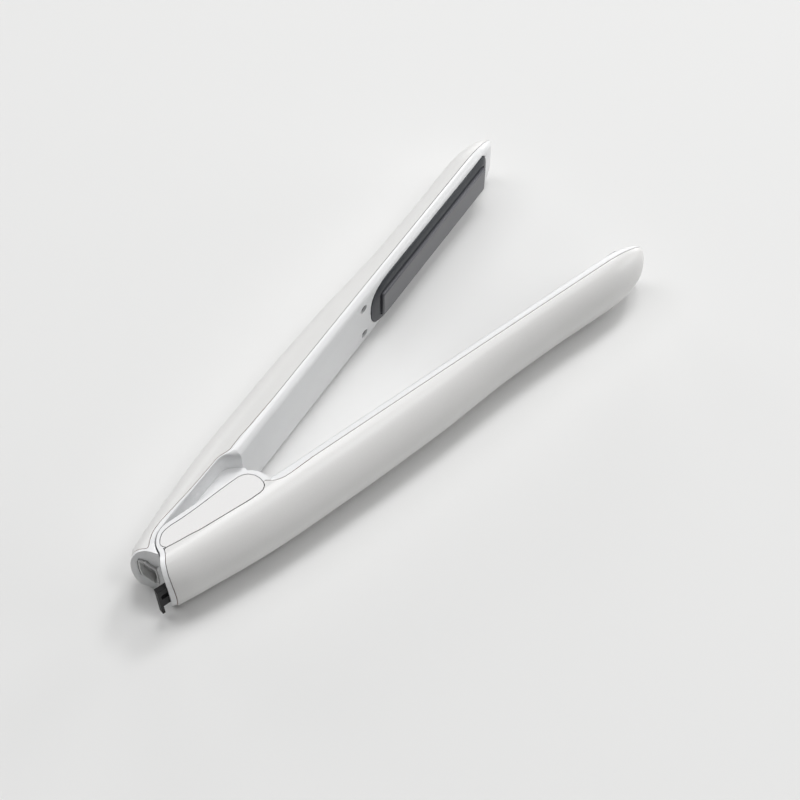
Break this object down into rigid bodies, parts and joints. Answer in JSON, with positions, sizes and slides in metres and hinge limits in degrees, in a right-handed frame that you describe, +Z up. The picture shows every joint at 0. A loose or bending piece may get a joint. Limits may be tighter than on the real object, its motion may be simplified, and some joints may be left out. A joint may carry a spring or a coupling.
{
  "type": "travel flat iron",
  "caption": "Slim travel hair straightener of two white arms on a tail hinge, with sprung open arms, floating plates in dark bezels and a tail lock.",
  "frame": {"origin": "on the floor, on the flat underside of the lower hinge cover, 18 mm from the hinge axis towards the tips", "axes": "+X along the middle line between the two open arms, from the hinge to the tips; +Z up along the hinge axis; the near arm is on the -Y side and the far arm on the +Y side"},
  "size_m": [0.2129, 0.0838, 0.03],
  "materials": {
    "outer_shell": "satin pearl white",
    "inner_shell": "glossy white",
    "hinge_cover": "satin white",
    "steel": "bright",
    "black_plastic": "fine matte",
    "inlet_plastic": "white, fine matte",
    "bezel": "dark slate, heat resistant",
    "plate": "grey ceramic coated",
    "heater": "plain",
    "pad": "silicone",
    "terminal": "plain",
    "brown_lead": "sleeved lead",
    "blue_lead": "sleeved lead"
  },
  "bodies": {
    "near_arm": {"near_outer_shell": "outer_shell", "near_inner_shell": "inner_shell", "upper_hinge_cover": "hinge_cover", "lower_hinge_cover": "hinge_cover", "hinge_pin": "steel", "hinge_spring": "steel", "near_bezel": "bezel", "near_terminal_block": "terminal", "near_upper_lead": "brown_lead", "near_lower_lead": "blue_lead", "near_upper_screw": "steel", "near_lower_screw": "steel"},
    "far_arm": {"far_outer_shell": "outer_shell", "far_inner_shell": "inner_shell", "far_bezel": "bezel", "far_terminal_block": "terminal", "far_upper_lead": "brown_lead", "far_lower_lead": "blue_lead", "far_upper_screw": "steel", "far_lower_screw": "steel", "inlet_upper_lead": "brown_lead", "inlet_lower_lead": "blue_lead", "power_inlet": "inlet_plastic"},
    "near_plate": {"near_heating_plate": "plate", "near_heater": "heater", "near_front_pad": "pad", "near_rear_pad": "pad", "near_thermal_fuse": "steel"},
    "far_plate": {"far_heating_plate": "plate", "far_heater": "heater", "far_front_pad": "pad", "far_rear_pad": "pad", "far_thermal_fuse": "steel"},
    "lock": {"lock_slider": "black_plastic"}
  },
  "joints": [
    {"name": "arms_hinge", "type": "hinge", "parent": "near_arm", "child": "far_arm", "pos_m": [-0.018, 0, 0.015], "axis": [0, 0, 1], "range_deg": [-17.1, 0], "stiffness_Nm_per_rad": 0.3, "springref_deg": 20.05},
    {"name": "near_plate_float", "type": "slide", "parent": "near_arm", "child": "near_plate", "axis": [-0.1637, -0.9865, 0], "range_m": [0, 0.001], "stiffness_N_per_m": 800, "springref_m": -0.001},
    {"name": "far_plate_float", "type": "slide", "parent": "far_arm", "child": "far_plate", "axis": [-0.1637, 0.9865, 0], "range_m": [0, 0.001], "stiffness_N_per_m": 800, "springref_m": -0.001},
    {"name": "lock_slide", "type": "slide", "parent": "near_arm", "child": "lock", "axis": [0.9865, -0.1637, 0], "range_m": [0, 0.0042]}
  ]
}
